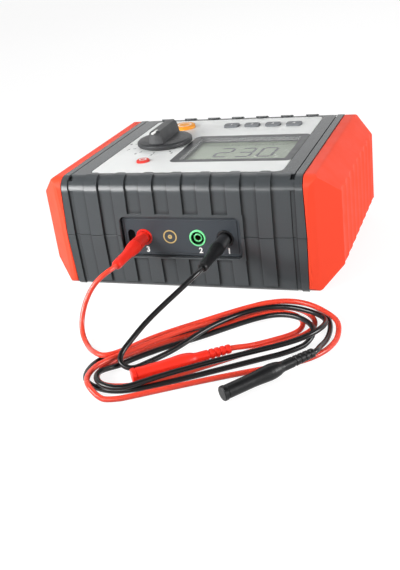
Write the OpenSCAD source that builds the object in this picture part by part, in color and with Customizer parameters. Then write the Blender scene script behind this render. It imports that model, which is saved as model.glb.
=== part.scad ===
/* [Casing] */
// Width over the two end cheeks
body_w = 208; // [190:1:225]
// Depth over the ribs, terminal end to rear end
body_d = 155; // [140:1:170]
// Height of the display face above the table
face_z = 78.4; // [72:0.2:90]
// Height of the joint between the two casing halves
split_z = 38.6; // [34:0.2:44]
// Half width of the dark casing between the cheeks
case_hw = 83.6; // [78:0.2:88]
// Wall of the casing halves
wall = 2.6; // [2:0.1:3.5]
// Radius of the long edge along the display face
edge_r = 8; // [5:0.5:10]
// How far a rib stands out from the bay beside it
rib_out = 1.5; // [0.8:0.1:1.8]
// Width of one rib
rib_w = 9.3; // [7:0.1:11]
// Distance from rib to rib
rib_pitch = 19.75; // [18:0.25:21]

/* [Cheeks] */
// Width of the front strip of a cheek
strip_w = 5.4; // [4:0.2:8]
// How far the front strip of a cheek slopes back
strip_back = 3.2; // [0:0.2:5]
// How far the bevels cut back along Y
bevel_y = 15.6; // [10:0.2:20]
// Seam between cheek and casing
seam = 0.45; // [0.2:0.05:0.6]
// Distance between the finger grooves on the cheek
scallop_pitch = 13.8; // [12:0.1:15]
// Depth of a finger groove
scallop_d = 1.4; // [0.8:0.1:2]

/* [Terminals] */
// Height of the socket row
socket_z = 36.8; // [34:0.2:40]
// Distance between two neighbouring sockets
socket_pitch = 19; // [19:0.1:20]
// Place of the green socket
green_x = 10.7; // [8:0.1:14]
// Bore of a socket contact
contact_d = 4; // [3.9:0.01:4.1]
// Width of the terminal panel
panel_w = 82.6; // [76:0.2:88]
// Height of the terminal panel
panel_h = 27.5; // [24:0.1:31]

/* [Leads] */
// Thickness of a test lead
cord_d = 3.2; // [2.8:0.1:3.6]
// Reach of a plug in front of the sockets
plug_len = 44.8; // [40:0.2:50]
// Length of the free connector of a lead
conn_len = 58; // [54:0.5:62]

/* [Display side] */
// Diameter of the selector knob
knob_d = 40; // [34:1:46]
// Height of the knob above the display face
knob_h = 13.4; // [10:0.2:16]
// Travel of a soft key
key_travel = 1; // [0.6:0.1:1.4]
// Travel of the large start button
start_travel = 1.5; // [1:0.1:2]
// Running play of a shaft in its bore
run_play = 0.05; // [0.03:0.01:0.1]
// Gap around a key
key_gap = 0.35; // [0.25:0.05:0.5]

/* [Hidden] */
hd = body_d / 2;
hw = body_w / 2;
// draft of the end walls above and below the split
draft_up = 0.042;
draft_dn = 0.025;
base_z = 0.8;
// how much narrower the ends are at the display face than at the split
taper = 1.2;
bay_y = hd - rib_out;
fil_z = face_z - edge_r;
bay_top_y = bay_y - draft_up * (fil_z - split_z);
bay_low_y = bay_y - draft_dn * (split_z - base_z);
fil_y = bay_top_y - edge_r;
ribs_n = 7;
rib_low = 4.6;
groove_in = case_hw - 8.9;
groove_out = case_hw - 5.7;
mid_groove = (groove_in + groove_out) / 2;
// how far the outer zone beside the cheeks stands out from a bay
zone_out = rib_out - 0.7;
block_lo = fil_z - 1.2;
block_hi = fil_z + 5;
// raised frame around the terminal panel
frame_hw = panel_w / 2 + 2.9;
frame_lo = 22.6;
frame_hi = 53.8;
panel_x = -0.8;
panel_z = 37.75;
// the ribs stand a little to the left of the middle too
rib_x = -1.2;
panel_y = -(hd - 3);
ledge_y = -(hd - 5);
red_x = green_x - 2 * socket_pitch;
black_x = green_x + socket_pitch - 0.1;
slot_x = -36.2;
slot_z = 37;
// display side
over_x = 1.4;
over_hx = 66.6;
over_hy = 64.3;
over_t = 1.2;
lcd = [26, -12, 84, 62];
view = [26, -12, 74, 50];
knob_pos = [-36, 2];
start_pos = [-36, 44];
power_pos = [-36, -40];
soft_y = 44;
soft_x = [2, 18, 34, 50];
plate_in = face_z - 3.4;
board_z = 64;
board_t = 1.6;
board_top = board_z + board_t;
knob_low = face_z + 0.6;
boss_x = case_hw - 13.6;
boss_y = hd - 15.5;
board_hx = case_hw - 21.6;
board_hy = hd - 19.5;
post_x = board_hx - 4;
post_y = board_hy - 4;
board_posts = [[-post_x, 2 - post_y], [post_x, 2 - post_y], [-post_x, post_y],
  [post_x, post_y], [-8, post_y]];
cell_y = [10.4, 28, 45.6];
foot_x = case_hw - 7.6;
foot_y = hd - 27.5;
// plane behind the sockets where the upright board stands
term_y = hd - 20.7;
// places of the cheek screws
peg_y = hd - 37.5;
peg_z = [18, face_z - 18.4];
// lead paths
cord_r = cord_d / 2;
up_z = 5.2;
red_tip = [9.1, -191.9, 4.25];
red_end = [55.3, -156.9, 4.85];
black_tip = [64.5, -201.4, 4.25];
black_end = [103.1, -158.2, 6.7];
plug_end_y = -(hd - 2.3) - plug_len;
red_path = [
  [red_x, plug_end_y, socket_z], [-29.5, -127, 36], [-36, -133, 31], [-43, -141.5, 17],
  [-42, -150, 5.5], [-33, -161, 2], [-23, -171.5, 4.8], [-16.5, -174.5, up_z],
  [-10, -171, up_z], [3.5, -153.5, up_z], [28, -128.5, up_z], [60.5, -101, up_z],
  [74.5, -96.5, up_z], [88.5, -100, up_z], [103, -111.5, up_z], [110, -122.5, 5],
  [111, -132, 2], [108, -145, cord_r], [100, -156.5, cord_r], [65, -177.5, cord_r],
  [11, -209.5, cord_r], [1, -212, cord_r], [-7.5, -208.5, 4.8], [-14.5, -199, up_z],
  [-15, -187, up_z], [-6.5, -173, up_z], [29.5, -133, up_z], [41.5, -121, 2.8],
  [54.5, -106.5, cord_r], [72.5, -98.5, cord_r], [86, -103, cord_r], [95, -117, cord_r],
  [91.5, -130.5, cord_r], [70.5, -149.5, cord_r], [24.5, -189.5, cord_r],
  [6, -198.5, cord_r], [-6.5, -198, cord_r], [-13, -190.5, cord_r], [-13, -181.5, cord_r],
  [9, -152.5, cord_r], [49, -119, cord_r], [63, -108, cord_r], [75, -105.5, cord_r],
  [86, -113, cord_r], [87.5, -126, cord_r], [76.5, -138.5, 1.8], [62.2, -151.8, 3.8],
  red_end];
black_path = [
  [black_x, plug_end_y, socket_z], [28, -127, 36], [22, -136, 31.5], [5, -155.5, 18],
  [-1.8, -168, 10.8], [-4, -174.5, 7.6], [-2.5, -180, 4.6], [2.8, -181, 2.3],
  [9, -175, cord_r], [21.5, -157.5, 2.4], [32.5, -141, up_z], [44, -122.5, up_z],
  [57, -110, up_z], [72, -104.5, up_z], [90, -108.5, up_z], [101, -117.5, 5.6],
  [102, -132, 7.5], [94, -143.5, 7], [73, -156.5, up_z], [21.5, -195, up_z],
  [7, -205.5, up_z], [-5, -203, 5.6], [-10.5, -193, up_z], [-5, -178, cord_r],
  [8.5, -161.5, cord_r], [31.5, -140.5, cord_r], [65.5, -114, 3.4], [80, -115, up_z],
  [92, -122, up_z], [97.5, -133, 4.4], [94, -143, cord_r], [82, -155, cord_r],
  [45, -181, cord_r], [21.5, -196.5, cord_r], [4, -203.5, cord_r], [-9, -201.5, cord_r],
  [-18.5, -194, cord_r], [-20.5, -178, cord_r], [-12.5, -165.5, cord_r],
  [27.5, -128.5, cord_r], [45.5, -106.5, cord_r], [58, -94, cord_r], [83.5, -92, cord_r],
  [97.5, -103, cord_r], [104.5, -119, cord_r], [105.5, -138.5, 2.6], [104.6, -150, up_z],
  black_end];

// Shared shapes

function unit(v) = v / norm(v);
// points of a round corner at b between a and c
function corner(a, b, c, r, n) =
  let (u = unit(a - b), v = unit(c - b))
  let (half = acos(u * v) / 2, t = r / tan(half))
  let (m = b + unit(u + v) * (r / sin(half)))
  let (s = b + u * t - m, e = b + v * t - m)
  let (turn = 180 - 2 * half, k = s[0] * e[1] - s[1] * e[0] > 0 ? 1 : -1)
  [for (i = [0:n]) let (w = k * turn * i / n)
    m + [s[0] * cos(w) - s[1] * sin(w), s[0] * sin(w) + s[1] * cos(w)]];
// outline with its corners rounded by the radii in r
function rounded(p, r, n = 4) =
  let (c = len(p))
  [for (i = [0:c - 1])
    each r[i] == 0 ? [p[i]] : corner(p[(i + c - 1) % c], p[i], p[(i + 1) % c], r[i], n)];

// rectangle with true round corners, centred
module round_rect(w, h, r) {
  square([w - 2 * r, h], center = true);
  square([w, h - 2 * r], center = true);
  for (x = [-1, 1], y = [-1, 1])
    translate([x * (w / 2 - r), y * (h / 2 - r)]) circle(r, $fn = 32);
}

module plate(w, h, r, z0, z1) {
  translate([0, 0, z0]) linear_extrude(z1 - z0) round_rect(w, h, r);
}

module box(x0, x1, y0, y1, z0, z1) {
  translate([x0, y0, z0]) cube([x1 - x0, y1 - y0, z1 - z0]);
}

module rod(d, z0, z1) {
  translate([0, 0, z0]) cylinder(d = d, h = z1 - z0, $fn = 48);
}

// extrudes a side view drawn in Y and Z between two X places
module along_x(x0, x1) {
  translate([x0, 0, 0]) rotate([90, 0, 90]) linear_extrude(x1 - x0) children();
}

// side view of the casing, grown by g at the ends and h at the top
module side_view(g, h, low) {
  cy = bay_top_y + g - edge_r;
  cz = fil_z + h;
  ly = bay_low_y + g;
  polygon([[-ly + 2, low], [-ly, low + 2], [-bay_y - g, split_z], [-bay_top_y - g, cz],
    [-cy, cz + edge_r], [cy, cz + edge_r], [bay_top_y + g, cz], [bay_y + g, split_z],
    [ly, low + 2], [ly - 2, low]]);
  for (s = [-1, 1]) translate([s * cy, cz]) circle(edge_r, $fn = 64);
}

// side view of the room inside the casing
module room_view() {
  cy = bay_top_y - edge_r;
  polygon([[-bay_low_y + wall, base_z + wall], [-bay_y + wall, split_z],
    [-bay_top_y + wall, fil_z], [-cy, plate_in], [cy, plate_in],
    [bay_top_y - wall, fil_z], [bay_y - wall, split_z], [bay_low_y - wall, base_z + wall]]);
}

// side view of the ribs, a hump that runs out on the display face
module rib_view() {
  flat = 0.6;
  r = edge_r + rib_out - flat;
  ly = bay_low_y + rib_out;
  for (s = [-1, 1]) {
    polygon([[s * (ly - 8), rib_low], [s * ly, rib_low], [s * hd, split_z],
      [s * (fil_y + flat + r), fil_z], [s * (fil_y - 1), fil_z]]);
    translate([s * (fil_y + flat), fil_z]) circle(r, $fn = 64);
  }
}

// plan of the ribs with their round ends
module rib_plan() {
  end_y = over_hy + 0.8 + rib_w / 2;
  for (k = [0:ribs_n - 1], s = [-1, 1]) {
    x = rib_x + (k - (ribs_n - 1) / 2) * rib_pitch;
    translate([x - rib_w / 2, s > 0 ? end_y : -hd - 2]) square([rib_w, hd + 2 - end_y]);
    translate([x, s * end_y]) circle(rib_w / 2, $fn = 40);
  }
}

// how far the end of the casing stands back at a height
function bend(z) = taper * abs(z - split_z) / (face_z - split_z);

// front view of the casing, widest at the split
module end_view() {
  z1 = face_z + 4;
  polygon([[bend(0) - case_hw, 0], [case_hw - bend(0), 0], [case_hw, split_z],
    [case_hw - bend(z1), z1], [bend(z1) - case_hw, z1], [-case_hw, split_z]]);
}

// outer form of the whole casing before it is split
module case_form() {
  intersection() {
    rotate([90, 0, 0]) linear_extrude(body_d + 8, center = true) end_view();
    case_shape();
  }
}

module case_shape() {
  difference() {
    union() {
      along_x(-case_hw, case_hw) side_view(-0.5, 0, base_z);
      along_x(-groove_in, groove_in) side_view(0, 0, base_z);
      for (s = [-1, 1]) {
        along_x(s > 0 ? groove_out : -case_hw, s > 0 ? case_hw : -groove_out)
          side_view(zone_out, 0, base_z);
        intersection() {
          along_x(s > 0 ? groove_in - 1 : -groove_out - 1, s > 0 ? groove_out + 1 : 1 - groove_in)
            side_view(0, 0, base_z);
          box(-case_hw, case_hw, -hd, hd, block_lo, block_hi);
        }
      }
      difference() {
        intersection() {
          along_x(-case_hw, case_hw) rib_view();
          translate([0, 0, base_z]) linear_extrude(face_z) rib_plan();
        }
        box(panel_x + 1 - frame_hw, panel_x + frame_hw - 1, -hd - 2, -60, frame_lo, frame_hi);
      }
      intersection() {
        along_x(-case_hw, case_hw) side_view(rib_out, 0, base_z);
        box(panel_x - frame_hw, panel_x + frame_hw, -hd - 2, -60, frame_lo, frame_hi);
      }
    }
    for (s = [-1, 1]) {
      box(s * (groove_out - 0.4) - 0.4, s * (groove_out - 0.4) + 0.4, -hd, hd, face_z - 0.8, face_z + 2);
      // dark notch in each groove, high on the rounded edge
      difference() {
        box(s * mid_groove - 1.3, s * mid_groove + 1.3, -hd, hd, block_hi, face_z - 0.6);
        along_x(-case_hw, case_hw) side_view(-2.2, -1.3, base_z);
      }
    }
    // shadow line along the joint of the two halves
    difference() {
      box(-hw, hw, -hd - 2, hd + 2, split_z - 0.2, split_z + 0.2);
      translate([0, 0, split_z - 1]) linear_extrude(2) joint_plan(0.6);
    }
  }
}

// outline of the casing at the height of the joint, drawn smaller by d
module joint_plan(d) {
  y = bay_y - d;
  square([2 * (case_hw - d), 2 * (y - 1)], center = true);
  square([2 * (groove_in - d), 2 * y], center = true);
  for (s = [-1, 1]) translate([s * (groove_out + case_hw) / 2, 0])
    square([case_hw - groove_out - 2 * d, 2 * (y + zone_out)], center = true);
  translate([rib_x, 0]) for (k = [0:ribs_n - 1])
    translate([(k - (ribs_n - 1) / 2) * rib_pitch, 0])
      square([rib_w - 2 * d, 2 * (hd - d)], center = true);
  translate([panel_x - frame_hw + d, d - hd]) square([2 * (frame_hw - d), 40]);
}

// tubular post for a case screw
module case_post(z0, z1) {
  for (x = [-1, 1], y = [-1, 1]) translate([x * boss_x, y * boss_y, 0]) rod(9.4, z0, z1);
}

// seats for the cheek screws in the end walls
module cheek_holes(z, d) {
  for (s = [-1, 1], y = [-peg_y, peg_y]) translate([s * (case_hw - wall), y, z])
    rotate([0, 90, 0]) cylinder(d = d, h = 12, center = true, $fn = 40);
}

// opening and ledge for the terminal panel
module panel_cut() {
  w = panel_w + 0.8;
  h = panel_h + 0.8;
  translate([panel_x, -60, panel_z]) rotate([90, 0, 0])
    linear_extrude(30) round_rect(panel_w - 7, panel_h - 7, 2);
  translate([panel_x, ledge_y, panel_z]) rotate([90, 0, 0])
    linear_extrude(10) round_rect(w, h, 3.4);
  // the mouth of the recess flares out
  translate([panel_x, 0.7 - hd, panel_z]) rotate([90, 0, 0])
    linear_extrude(1, scale = [(w + 1) / w, (h + 1.8) / h]) round_rect(w, h, 3.4);
}

// thicker wall behind the terminal panel
module panel_pad() {
  box(panel_x - frame_hw, panel_x + frame_hw, -hd + 4, -hd + 7.5, 20, 57);
}

// Casing

module front_case() color("#4c4f51") {
  difference() {
    union() {
      difference() {
        case_form();
        along_x(wall - case_hw, case_hw - wall) room_view();
      }
      panel_pad();
      case_post(split_z, plate_in + 1);
      for (p = board_posts) translate([p[0], p[1], 0]) rod(7, board_top, plate_in + 1);
    }
    box(-hw, hw, -hd - 2, hd + 2, 0, split_z);
    panel_cut();
    translate([over_x, 0, 0])
      plate(2 * over_hx + 0.8, 2 * over_hy + 0.8, 5.4, face_z - over_t - 0.1, face_z + 3);
    translate([lcd[0], lcd[1], 0]) plate(view[2] + 4, view[3] + 4, 1.5, 60, face_z);
    translate([knob_pos[0], knob_pos[1], 0]) rod(10.6, 60, face_z + 1);
    translate([start_pos[0], start_pos[1], 0]) rod(16 + 2 * key_gap, 60, face_z + 1);
    translate([power_pos[0], power_pos[1], 0]) rod(9 + 2 * key_gap, 60, face_z + 1);
    for (x = soft_x) translate([x, soft_y, 0])
      plate(11 + 2 * key_gap, 8 + 2 * key_gap, 2 + key_gap, 60, face_z + 1);
    for (x = [-1, 1], y = [-1, 1]) translate([x * boss_x, y * boss_y, 0])
      rod(4 + 2 * run_play, split_z - 1, 62);
    for (p = board_posts) translate([p[0], p[1], 0])
      rod(2.5 + 2 * run_play, board_z, board_top + 7);
    cheek_holes(peg_z[1], 4 + 2 * run_play);
  }
}

module rear_case() color("#48494a") {
  difference() {
    union() {
      difference() {
        case_form();
        along_x(wall - case_hw, case_hw - wall) room_view();
      }
      panel_pad();
      case_post(base_z + 1, split_z);
      battery_walls();
      for (x = [-44.5, 44.5]) box(x - 4, x + 4, -term_y - 4, -term_y + 6, base_z + 1, 36);
    }
    box(-hw, hw, -hd - 2, hd + 2, split_z, face_z + 4);
    panel_cut();
    for (x = [-1, 1], y = [-1, 1]) translate([x * boss_x, y * boss_y, 0]) {
      rod(4.6, 0, split_z + 1);
      rod(8, 0, 5);
    }
    for (x = [-foot_x, foot_x], y = [-foot_y, foot_y]) translate([x, y, 0]) rod(12.2, 0, 2.5);
    // battery opening with a rebate for the cover
    box(-57, 57, 2, 54, 0, 5);
    box(-60, 60, -1, 57, 0, base_z + 1.4);
    for (x = [-52, 52]) translate([x, -4.4, 0]) rod(2.5 + 2 * run_play, 0, 11);
    box(-60, 60, -8.2, 0, 0, base_z + 1.4);
    // slots that hold the terminal board
    box(-43.2, 43.2, -term_y, -term_y + board_t + 0.1, 22, 40);
    cheek_holes(peg_z[0], 4 + 2 * run_play);
  }
}

// box that holds the cells, with a rib between the two columns
module battery_walls() {
  difference() {
    box(-59, 59, 0, 56, base_z + 1, 22.4);
    box(-57, 57, 2, 54, base_z - 1, 20.4);
  }
  for (x = [-52, 52]) translate([x, -4.4, 0]) rod(7, base_z + 1, 12);
}

// end cheek: front view, plan and side view cut together
module cheek_form(t) {
  x0 = case_hw + seam;
  x2 = hw - t;
  x1 = x0 + strip_w - t * 0.4;
  yb = hd - 0.7 - t;
  ys = hd - 0.7 - bevel_y - t * 0.4;
  lo = 1.8 + t;
  hi = face_z - 0.4 - t;
  k = t * 0.4;
  q = t > 0 ? 1.2 : 2.6;
  xi = x0 - t - taper - 0.2;
  intersection() {
    rotate([90, 0, 0]) linear_extrude(body_d + 2, center = true)
      polygon(rounded([[x0 - t - bend(lo), lo], [x1 + 1, lo], [x2, lo + 14 - k],
        [x2, hi - 13.7 + k], [x1 + 0.5, hi], [x0 - t - bend(hi), hi], [x0 - t, split_z]],
        [0, q, q + 1, q + 1, q, 0, 0]));
    linear_extrude(face_z + 4)
      polygon(rounded([[xi, -yb], [x0, -yb], [x1, strip_back - yb], [x2, -ys], [x2, ys],
        [x1, yb - strip_back], [x0, yb], [xi, yb]], [0, 0, q, q, q, q, 0, 0]));
    along_x(xi, hw) side_view(zone_out - t, -0.4 - t, lo);
  }
}

module cheek() {
  x0 = case_hw + seam;
  depth = scallop_d;
  chord = scallop_pitch / 2;
  rr = (chord * chord + depth * depth) / (2 * depth);
  difference() {
    union() {
      difference() {
        cheek_form(0);
        cheek_form(3.2);
      }
      for (y = [-peg_y, peg_y], z = peg_z) translate([case_hw, y, z]) rotate([0, 90, 0])
        cylinder(d = 9, h = hw - case_hw - 3, $fn = 48);
    }
    for (i = [-4:4]) translate([hw - depth + rr, i * scallop_pitch, 0])
      cylinder(r = rr, h = face_z + 4, $fn = 96);
    for (y = [-peg_y, peg_y], z = peg_z) translate([case_hw - 1, y, z]) rotate([0, 90, 0])
      cylinder(d = 4 + 2 * run_play, h = 12, $fn = 40);
  }
}

module right_cheek() color("#fc5138") cheek();

module left_cheek() color("#fc5138") mirror([1, 0, 0]) cheek();

// screws driven from inside the casing into the cheeks
module cheek_screws() color("#b9bcc0") {
  for (s = [0, 1], y = [-peg_y, peg_y], z = peg_z) mirror([s, 0, 0])
    translate([case_hw - wall, y, z]) rotate([0, 90, 0]) {
      translate([0, 0, -2]) cylinder(d = 7, h = 2, $fn = 40);
      cylinder(d = 4, h = 12, $fn = 40);
    }
}

// Terminals

module terminal_panel() color("#3f444a") {
  difference() {
    union() {
      translate([panel_x, ledge_y, panel_z]) rotate([90, 0, 0])
        linear_extrude(-panel_y + ledge_y - 0.5) round_rect(panel_w, panel_h, 3);
      // bevel round the front of the panel
      translate([panel_x, panel_y + 0.5, panel_z]) rotate([90, 0, 0])
        linear_extrude(0.5, scale = [1 - 1 / panel_w, 1 - 1 / panel_h])
          round_rect(panel_w, panel_h, 3);
      translate([panel_x, ledge_y + 4, panel_z]) rotate([90, 0, 0])
        linear_extrude(4) round_rect(panel_w - 7.6, panel_h - 7.6, 2);
    }
    // fine line engraved round the front
    translate([panel_x, panel_y + 0.3, panel_z]) rotate([90, 0, 0]) linear_extrude(1)
      difference() {
        round_rect(panel_w - 3.4, panel_h - 3.4, 2);
        round_rect(panel_w - 4.2, panel_h - 4.2, 1.7);
      }
    for (x = [red_x, green_x, black_x]) translate([x, 0, socket_z]) rotate([90, 0, 0])
      cylinder(d = 11.6, h = hd + 1, $fn = 64);
    translate([slot_x, 0, slot_z]) rotate([90, 0, 0]) linear_extrude(hd + 1) obround(5.2, 10.4);
  }
}

module obround(w, h) {
  square([w, h - w], center = true);
  for (s = [-1, 1]) translate([0, s * (h - w) / 2]) circle(d = w, $fn = 40);
}

// safety socket, seen along its axis from the rear flange to the ring
module socket_shell() {
  front = -panel_y + 0.5;
  back = term_y;
  rotate([90, 0, 0]) rotate_extrude($fn = 72)
    polygon([[2.65, back], [7, back], [7, back + 2], [5.75, back + 2], [5.75, front - 0.4],
      [5.35, front], [4.55, front], [4.25, front - 0.3], [4.25, back + 4], [3, back + 4],
      [3, front - 1.2], [2.8, front - 0.9], [2.65, front - 0.9]]);
}

module red_socket() color("#d8281c") translate([red_x, 0, socket_z]) socket_shell();

module green_socket() color("#35d878") translate([green_x, 0, socket_z]) socket_shell();

module black_socket() color("#161718") translate([black_x, 0, socket_z]) socket_shell();

// brass tubes of the three sockets with their solder tails
module contact_tubes() color("#c9a24a") {
  front = -panel_y - 1.5;
  for (x = [red_x, green_x, black_x]) translate([x, 0, socket_z]) rotate([90, 0, 0])
    rotate_extrude($fn = 64)
      polygon([[0, term_y - 3.4], [1.3, term_y - 3.4], [1.3, term_y], [2.6, term_y],
        [2.6, front], [contact_d / 2, front], [contact_d / 2, term_y + 1.2],
        [0, term_y + 1.2]]);
}

module port_window() color("#101113") {
  translate([slot_x, ledge_y, slot_z]) rotate([90, 0, 0])
    linear_extrude(1.2) obround(5.1, 10.3);
}

// upright board behind the sockets
module terminal_board() color("#2f6b3c") {
  difference() {
    box(-43, 43, -term_y, -term_y + board_t, 22, 52);
    for (x = [red_x, green_x, black_x]) translate([x, 0, socket_z]) rotate([90, 0, 0])
      cylinder(d = 2.8, h = term_y + 2, $fn = 32);
  }
}

// Display side

module display_overlay() color("#e4e6e5") {
  difference() {
    translate([over_x, 0, 0])
      plate(2 * over_hx, 2 * over_hy, 5, face_z - over_t - 0.1, face_z - 0.1);
    translate([view[0], view[1], 0]) plate(view[2] + 0.4, view[3] + 0.4, 1.2, 60, face_z + 1);
    translate([knob_pos[0], knob_pos[1], 0]) rod(10.6, 60, face_z + 1);
    translate([start_pos[0], start_pos[1], 0]) rod(16 + 2 * key_gap, 60, face_z + 1);
    translate([power_pos[0], power_pos[1], 0]) rod(9 + 2 * key_gap, 60, face_z + 1);
    for (x = soft_x) translate([x, soft_y, 0])
      plate(11 + 2 * key_gap, 8 + 2 * key_gap, 2 + key_gap, 60, face_z + 1);
  }
}

module display_window() color([0.7, 0.75, 0.78, 0.4]) {
  translate([view[0], view[1], 0]) {
    plate(view[2], view[3], 1, plate_in + 0.4, face_z - 0.1);
    plate(view[2] + 3.6, view[3] + 3.6, 1, plate_in, plate_in + 0.9);
  }
}

module lcd_module() color("#8d9b86") {
  translate([lcd[0], lcd[1], 0]) {
    plate(lcd[2], lcd[3], 1, board_top, plate_in - 2.4);
    plate(view[2] - 2, view[3] - 2, 0.6, plate_in - 3, plate_in);
  }
}

module main_board() color("#2f6b3c") {
  difference() {
    plate(2 * board_hx, 2 * board_hy, 2, board_z, board_top);
    for (p = board_posts) translate([p[0], p[1], 0]) rod(2.8, 60, 70);
    translate([knob_pos[0], knob_pos[1], 0]) rod(6.4, 60, 70);
  }
}

module board_screws() color("#b9bcc0") {
  for (p = board_posts) translate([p[0], p[1], 0]) {
    rod(5, board_z - 1.8, board_z);
    rod(2.5, board_z, board_top + 6);
  }
}

// rotary switch on the main board with its bushing
module switch_body() color("#2a4f8c") {
  translate([knob_pos[0], knob_pos[1], 0]) difference() {
    union() {
      rod(26, board_top, board_top + 6);
      rod(10, board_top + 5, face_z - 0.6);
    }
    rod(6 + 2 * run_play, 60, 90);
    rod(11, board_top - 1, board_top + 3);
  }
}

// shaft with the rotor disc that turns inside the switch
module knob_shaft() color("#b9bcc0") {
  translate([knob_pos[0], knob_pos[1], 0]) {
    rod(6, board_top + 0.4, knob_low + 8);
    rod(10, board_top + 0.4, board_top + 3);
  }
}

// dished skirt with a finger bar across it
module selector_knob() color("#26282b") {
  translate([knob_pos[0], knob_pos[1], 0]) difference() {
    union() {
      rotate_extrude($fn = 96) polygon([[0, knob_low], [knob_d / 2 - 0.8, knob_low],
        [knob_d / 2, knob_low + 0.8], [knob_d / 2, knob_low + 2.6],
        [knob_d / 2 - 1.2, knob_low + 3.6], [knob_d / 2 - 5, knob_low + 4.4],
        [0, knob_low + 4.4]]);
      intersection() {
        rotate([90, 0, 0]) linear_extrude(knob_d, center = true)
          polygon([[-5.5, knob_low + 4], [5.5, knob_low + 4], [4.2, face_z + knob_h - 1],
            [3.2, face_z + knob_h], [-3.2, face_z + knob_h], [-4.2, face_z + knob_h - 1]]);
        rotate_extrude($fn = 96) polygon([[0, knob_low], [knob_d / 2 - 1.5, knob_low],
          [knob_d / 2 - 3.5, face_z + knob_h - 1], [knob_d / 2 - 4.5, face_z + knob_h],
          [0, face_z + knob_h]]);
      }
    }
    rod(6.06, knob_low - 1, knob_low + 8);
    translate([0, 4 - knob_d / 2, face_z + knob_h - 0.8]) linear_extrude(2)
      round_rect(1.8, 10, 0.8);
  }
}

module knob_pointer() color("#f2f2ee") {
  translate([knob_pos[0], knob_pos[1] + 4 - knob_d / 2, face_z + knob_h - 0.8])
    linear_extrude(0.8) round_rect(1.7, 9.9, 0.75);
}

// cap, flange that stays under the plate, and stem
module key_form(w, h, r, up, travel) {
  plate(w, h, r, plate_in - 1, face_z + up);
  plate(w + 3, h + 3, r + 1, plate_in - 1.2, plate_in);
  rod(4, board_top + 4.3 + travel, plate_in);
}

module soft_key(i) {
  translate([soft_x[i], soft_y, 0]) key_form(11, 8, 2, 1.4, key_travel);
}

module soft_key_1() color("#8f9499") soft_key(0);

module soft_key_2() color("#8f9499") soft_key(1);

module soft_key_3() color("#8f9499") soft_key(2);

module soft_key_4() color("#8f9499") soft_key(3);

module round_key(d, up, travel) {
  rod(d, plate_in - 1, face_z + up - 0.5);
  rod(d - 1, plate_in, face_z + up);
  rod(d + 3, plate_in - 1.2, plate_in);
  rod(4, board_top + 4.3 + travel, plate_in);
}

module power_key() color("#c23a2c")
  translate([power_pos[0], power_pos[1], 0]) round_key(9, 1.4, key_travel);

module start_button() color("#f0a02c")
  translate([start_pos[0], start_pos[1], 0]) round_key(16, 2.4, start_travel);

// small push switches under the keys
module tact_switches() color("#3a3c3f") {
  places = [for (x = soft_x) [x, soft_y], power_pos, start_pos];
  for (p = places) translate([p[0], p[1], 0]) {
    box(-3, 3, -3, 3, board_top, board_top + 3.6);
    rod(3.4, board_top + 3.6, board_top + 4.3);
  }
}

// Inside

module relays() color("#3b6ea5") {
  for (x = [-34, -12, 10, 32])
    box(x - 5, x + 5, 8 - board_hy, 28 - board_hy, board_z - 12, board_z);
}

module transformer() color("#b88a3a") {
  box(34, 56, -10, 12, board_z - 4, board_z);
  box(37, 53, -7, 9, board_z - 16, board_z - 4);
  box(34, 56, -10, 12, board_z - 20, board_z - 16);
}

module capacitors() color("#2b2d4a") {
  for (y = [-16, 0, 16]) translate([-50, y, 0]) rod(12.5, board_z - 22, board_z);
}

module buzzer() color("#1c1d1f") {
  translate([-56, -20, 0]) difference() {
    rod(11, board_top, board_top + 7);
    rod(2.4, board_top + 5, board_top + 8);
  }
}

module fuse_link() color("#d9d4c4") {
  translate([-20, 30, board_z - 5]) rotate([0, 90, 0]) cylinder(d = 6.3, h = 32, $fn = 48);
}

// two clips, cradles with a round seat
module fuse_clips() color("#c9a24a") {
  for (x = [-16, 5]) difference() {
    box(x, x + 4, 26, 34, board_z - 7, board_z);
    translate([x - 1, 30, board_z - 5]) rotate([0, 90, 0])
      cylinder(d = 6.3 + 2 * run_play, h = 6, $fn = 48);
    box(x - 1, x + 5, 27.6, 32.4, board_z - 8, board_z - 5);
  }
}

module battery_cells() color("#6f7478") {
  for (y = cell_y, s = [-1, 1]) translate([s > 0 ? 1.4 : -1.4 - 49.2 - 1.1, y, 12])
    rotate([0, 90, 0]) {
      cylinder(d = 14.2, h = 49.2, $fn = 64);
      translate([0, 0, 49.2]) cylinder(d = 5.4, h = 1.1, $fn = 40);
    }
}

// contact plates at the two ends and between the columns
module battery_contacts() color("#c8cbd0") {
  for (y = cell_y) {
    box(-1.4, 1.4, y - 5, y + 5, 6, 20.4);
    box(51.7, 52.1, y - 5, y + 5, 6, 20.4);
    box(-52.1, -51.7, y - 5, y + 5, 6, 20.4);
  }
}

module battery_cover() color("#48494a") {
  difference() {
    union() {
      box(-59.6, 59.6, -7.8, 56.6, base_z - 0.2, base_z + 1.4);
      box(-56.6, 56.6, 2.4, 53.6, base_z + 1.2, base_z + 2.6);
    }
    for (x = [-52, 52]) translate([x, -4.4, 0]) {
      rod(2.9, 0, 10);
      rod(5.3, 0, base_z + 0.6);
    }
    for (i = [-3:3]) box(i * 4 - 0.7, i * 4 + 0.7, 36, 48, base_z - 1, base_z + 0.6);
  }
}

module cover_screws() color("#b9bcc0") {
  for (x = [-52, 52]) translate([x, -4.4, 0]) difference() {
    union() {
      rod(5, 0.3, base_z + 0.6);
      rod(2.5, base_z + 0.5, 10);
    }
    box(-2, 2, -0.3, 0.3, 0, base_z);
  }
}

module case_screws() color("#b9bcc0") {
  for (x = [-1, 1], y = [-1, 1]) translate([x * boss_x, y * boss_y, 0]) difference() {
    union() {
      rod(7, 2.4, 5);
      rod(4, 5, 58);
    }
    box(-2.4, 2.4, -0.5, 0.5, 2, 3.4);
    box(-0.5, 0.5, -2.4, 2.4, 2, 3.4);
  }
}

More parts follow.
